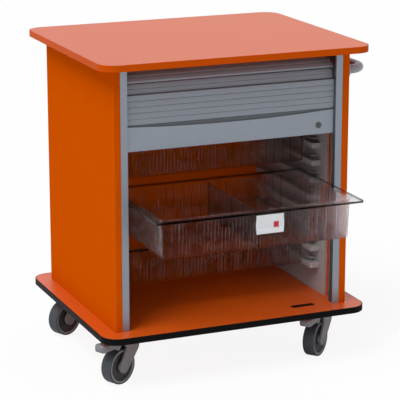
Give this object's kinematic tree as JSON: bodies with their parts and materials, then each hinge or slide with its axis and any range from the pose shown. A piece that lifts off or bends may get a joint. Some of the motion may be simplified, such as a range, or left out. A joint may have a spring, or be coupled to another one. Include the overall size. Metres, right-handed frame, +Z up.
{
  "type": "bin trolley",
  "caption": "Cabinet trolley on swivel casters with a roll-up slat shutter, clear pull-out baskets on side runners, an overhanging worktop and a side push handle.",
  "frame": {"origin": "On the floor, under the middle of the base board and the worktop.", "axes": "+X to the trolley's right (the side with the handle), -Y to its front, +Z up."},
  "size_m": [0.82, 0.7833, 0.889],
  "materials": {
    "laminate": "satin orange laminate on board",
    "edge_orange": "matt orange edge strip",
    "edge_black": "matt black edge strip",
    "anodised": "satin anodised grey",
    "shutter_plastic": "satin grey slats",
    "lock_nickel": "nickel plated",
    "steel": "zinc plated",
    "liner_plastic": "fine grained light grey",
    "clear_plastic": "clear, moulded",
    "label_white": "clear with a white card",
    "label_red": "red card",
    "handle_paint": "light grey powder coat",
    "caster_plastic": "grey moulded",
    "wheel_plastic": "grey moulded",
    "guard_plastic": "dark grey moulded",
    "pedal_plastic": "grey moulded",
    "tyre": "dark grey tread"
  },
  "bodies": {
    "cabinet": {"top_board": "laminate", "top_edge_band": "edge_orange", "base_board": "laminate", "base_edge_band": "edge_black", "side_panel_left": "laminate", "side_panel_right": "laminate", "back_panel": "laminate", "guide_profile_left": "anodised", "guide_profile_right": "anodised", "shutter_track_left": "liner_plastic", "shutter_track_right": "liner_plastic", "shutter_slats_stored": "shutter_plastic", "liner_left": "liner_plastic", "liner_right": "liner_plastic", "runners_left": "liner_plastic", "runners_right": "liner_plastic", "liner_screws": "steel", "push_handle": "handle_paint", "handle_flanges": "handle_paint", "handle_screws": "steel", "caster_screws": "steel", "caster_plate_fl": "steel", "caster_plate_fr": "steel", "caster_plate_rl": "steel", "caster_plate_rr": "steel"},
    "shutter": {"shutter_bar": "anodised", "shutter_slats_front": "shutter_plastic", "lock_rosette": "lock_nickel"},
    "lock_plug": {"lock_plug": "lock_nickel"},
    "lock_bolt": {"lock_bolt": "steel"},
    "basket_upper": {"basket_upper": "clear_plastic"},
    "basket_middle": {"basket_middle": "clear_plastic", "basket_divider": "clear_plastic", "label_holder": "label_white", "label_tab": "label_red"},
    "basket_lower": {"basket_lower": "clear_plastic"},
    "caster_fl": {"caster_fork_fl": "caster_plastic", "caster_axle_fl": "steel"},
    "wheel_fl": {"caster_wheel_fl": "wheel_plastic", "caster_tyre_fl": "tyre", "wheel_guards_fl": "guard_plastic"},
    "caster_fr": {"caster_fork_fr": "caster_plastic", "caster_axle_fr": "steel"},
    "wheel_fr": {"caster_wheel_fr": "wheel_plastic", "caster_tyre_fr": "tyre", "wheel_guards_fr": "guard_plastic"},
    "caster_rl": {"caster_fork_rl": "caster_plastic", "caster_axle_rl": "steel"},
    "wheel_rl": {"caster_wheel_rl": "wheel_plastic", "caster_tyre_rl": "tyre", "wheel_guards_rl": "guard_plastic"},
    "caster_rr": {"caster_fork_rr": "caster_plastic", "caster_axle_rr": "steel"},
    "wheel_rr": {"caster_wheel_rr": "wheel_plastic", "caster_tyre_rr": "tyre", "wheel_guards_rr": "guard_plastic"},
    "pedal_fl": {"brake_pedal_fl": "pedal_plastic"},
    "pedal_fr": {"brake_pedal_fr": "pedal_plastic"}
  },
  "joints": [
    {"name": "shutter_slide", "type": "slide", "parent": "cabinet", "child": "shutter", "axis": [0, 0, 1], "range_m": [-0.13, 0.075], "deforming": ["shutter_slats_front"]},
    {"name": "lock_turn", "type": "hinge", "parent": "shutter", "child": "lock_plug", "pos_m": [0.256, -0.259, 0.66906], "axis": [0, -1, 0], "range_deg": [0, 90]},
    {"name": "lock_bolt_slide", "type": "slide", "parent": "shutter", "child": "lock_bolt", "axis": [0, 0, -1], "range_m": [0, 0.012]},
    {"name": "basket_upper_slide", "type": "slide", "parent": "cabinet", "child": "basket_upper", "axis": [0, -1, 0], "range_m": [0, 0.06]},
    {"name": "basket_middle_slide", "type": "slide", "parent": "cabinet", "child": "basket_middle", "axis": [0, -1, 0], "range_m": [-0.277, 0.04]},
    {"name": "basket_lower_slide", "type": "slide", "parent": "cabinet", "child": "basket_lower", "axis": [0, -1, 0], "range_m": [0, 0.317]},
    {"name": "swivel_fl", "type": "hinge", "parent": "cabinet", "child": "caster_fl", "pos_m": [-0.2935, -0.2205, 0.12], "axis": [0, 0, 1], "continuous": true},
    {"name": "wheel_spin_fl", "type": "hinge", "parent": "caster_fl", "child": "wheel_fl", "pos_m": [-0.32736, -0.23775, 0.05], "axis": [0.454, -0.891, 0], "continuous": true},
    {"name": "brake_fl", "type": "hinge", "parent": "caster_fl", "child": "pedal_fl", "pos_m": [-0.31845, -0.23321, 0.1177], "axis": [-0.454, 0.891, 0], "range_deg": [0, 4]},
    {"name": "swivel_fr", "type": "hinge", "parent": "cabinet", "child": "caster_fr", "pos_m": [0.2935, -0.2205, 0.12], "axis": [0, 0, 1], "continuous": true},
    {"name": "wheel_spin_fr", "type": "hinge", "parent": "caster_fr", "child": "wheel_fr", "pos_m": [0.26418, -0.24467, 0.05], "axis": [0.6361, -0.7716, 0], "continuous": true},
    {"name": "brake_fr", "type": "hinge", "parent": "caster_fr", "child": "pedal_fr", "pos_m": [0.27189, -0.23831, 0.1177], "axis": [-0.6361, 0.7716, 0], "range_deg": [0, 4]},
    {"name": "swivel_rl", "type": "hinge", "parent": "cabinet", "child": "caster_rl", "pos_m": [-0.2935, 0.2205, 0.12], "axis": [0, 0, 1], "continuous": true},
    {"name": "wheel_spin_rl", "type": "hinge", "parent": "caster_rl", "child": "wheel_rl", "pos_m": [-0.32794, 0.20444, 0.05], "axis": [0.4226, -0.9063, 0], "continuous": true},
    {"name": "swivel_rr", "type": "hinge", "parent": "cabinet", "child": "caster_rr", "pos_m": [0.2935, 0.2205, 0.12], "axis": [0, 0, 1], "continuous": true},
    {"name": "wheel_spin_rr", "type": "hinge", "parent": "caster_rr", "child": "wheel_rr", "pos_m": [0.26059, 0.2015, 0.05], "axis": [0.5, -0.866, 0], "continuous": true}
  ],
  "couplings": [
    {"joint": "lock_turn", "follows": "lock_bolt_slide", "rad_per_m": 130.9}
  ]
}
